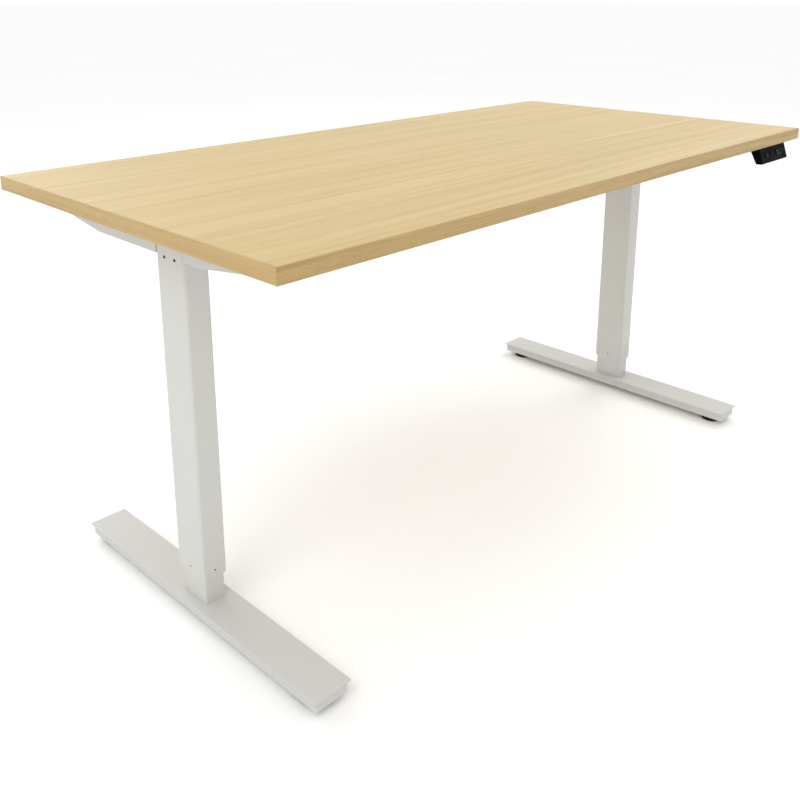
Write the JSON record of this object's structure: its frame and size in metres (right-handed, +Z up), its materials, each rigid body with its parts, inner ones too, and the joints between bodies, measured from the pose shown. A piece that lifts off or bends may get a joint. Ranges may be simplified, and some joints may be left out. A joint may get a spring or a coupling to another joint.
{
  "type": "height adjustable standing desk",
  "caption": "Rectangular wood-effect worktop on an off-white electric lifting frame: telescopic columns, flat feet with levelling glides, and a black hand control under the front edge.",
  "frame": {"origin": "on the floor, under the middle of the worktop", "axes": "+X along the width towards the hand control, the user sits on the -Y side, +Z up"},
  "size_m": [1.6, 0.8, 0.76],
  "materials": {
    "oak_laminate": "satin, fine straight oak grain along X",
    "oak_edge": "satin, oak-effect edge band",
    "white_coat": "fine-textured off-white powder coat",
    "zinc_steel": "zinc plated",
    "spindle_steel": "bright, lightly greased",
    "cast_alloy": "as cast",
    "bronze": "machined",
    "black_screw": "black oxide",
    "motor_coat": "satin black",
    "pale_plastic": "moulded",
    "black_plastic": "moulded, fine grain",
    "key_plastic": "smooth moulded",
    "glide_plastic": "moulded",
    "board_green": "solder mask",
    "lead_rubber": "matt sheath"
  },
  "bodies": {
    "base": {"left_inner_tube": "white_coat", "right_inner_tube": "white_coat", "left_guide_pad": "black_plastic", "right_guide_pad": "black_plastic", "left_spindle_nut": "bronze", "right_spindle_nut": "bronze", "column_base_plugs": "zinc_steel", "left_foot_plate": "white_coat", "right_foot_plate": "white_coat", "left_foot_body": "white_coat", "right_foot_body": "white_coat", "foot_anchor_blocks": "zinc_steel", "column_bolts": "zinc_steel", "glide_nuts": "zinc_steel"},
    "desk": {"worktop_panel": "oak_laminate", "edge_bands_long": "oak_edge", "edge_bands_short": "oak_edge", "worktop_screws": "zinc_steel", "left_top_bracket": "white_coat", "right_top_bracket": "white_coat", "front_rail": "white_coat", "back_rail": "white_coat", "rail_bolts": "zinc_steel", "left_outer_tube": "white_coat", "right_outer_tube": "white_coat", "left_slide_collar": "pale_plastic", "right_slide_collar": "pale_plastic", "left_gearbox": "cast_alloy", "right_gearbox": "cast_alloy", "gearbox_screws": "black_screw", "left_motor": "motor_coat", "right_motor": "motor_coat", "spindle_bearings": "spindle_steel", "control_box_base": "black_plastic", "control_box_cover": "black_plastic", "control_board": "board_green", "mains_inlet": "black_plastic", "control_box_screws": "zinc_steel", "left_motor_lead": "lead_rubber", "right_motor_lead": "lead_rubber", "handset_lead": "lead_rubber", "lead_clips": "black_plastic", "handset_plate": "black_plastic", "handset_housing": "black_plastic", "handset_board": "board_green", "handset_screws": "zinc_steel"},
    "left_spindle": {"left_spindle": "spindle_steel", "left_worm_wheel": "bronze"},
    "right_spindle": {"right_spindle": "spindle_steel", "right_worm_wheel": "bronze"},
    "glide_left_front": {"glide_left_front": "glide_plastic"},
    "glide_left_back": {"glide_left_back": "glide_plastic"},
    "glide_right_front": {"glide_right_front": "glide_plastic"},
    "glide_right_back": {"glide_right_back": "glide_plastic"},
    "up_key": {"up_key": "key_plastic"},
    "down_key": {"down_key": "key_plastic"}
  },
  "joints": [
    {"name": "desk_lift", "type": "slide", "parent": "base", "child": "desk", "axis": [0, 0, 1], "range_m": [-0.045, 0.415]},
    {"name": "left_spindle_turn", "type": "hinge", "parent": "desk", "child": "left_spindle", "pos_m": [-0.6825, 0, 0.4], "axis": [0, 0, 1], "range_deg": [-2701, 24901]},
    {"name": "right_spindle_turn", "type": "hinge", "parent": "desk", "child": "right_spindle", "pos_m": [0.6825, 0, 0.4], "axis": [0, 0, 1], "range_deg": [-2701, 24901]},
    {"name": "glide_left_front_level", "type": "slide", "parent": "base", "child": "glide_left_front", "axis": [0, 0, -1], "range_m": [0, 0.01]},
    {"name": "glide_left_back_level", "type": "slide", "parent": "base", "child": "glide_left_back", "axis": [0, 0, -1], "range_m": [0, 0.01]},
    {"name": "glide_right_front_level", "type": "slide", "parent": "base", "child": "glide_right_front", "axis": [0, 0, -1], "range_m": [0, 0.01]},
    {"name": "glide_right_back_level", "type": "slide", "parent": "base", "child": "glide_right_back", "axis": [0, 0, -1], "range_m": [0, 0.01]},
    {"name": "up_key_press", "type": "slide", "parent": "desk", "child": "up_key", "axis": [0, 0.9483, -0.3173], "range_m": [0, 0.001], "stiffness_N_per_m": 800, "springref_m": -0.0005},
    {"name": "down_key_press", "type": "slide", "parent": "desk", "child": "down_key", "axis": [0, 0.9483, -0.3173], "range_m": [0, 0.001], "stiffness_N_per_m": 800, "springref_m": -0.0005}
  ],
  "couplings": [
    {"joint": "left_spindle_turn", "follows": "desk_lift", "rad_per_m": 1047.2},
    {"joint": "right_spindle_turn", "follows": "desk_lift", "rad_per_m": 1047.2}
  ]
}
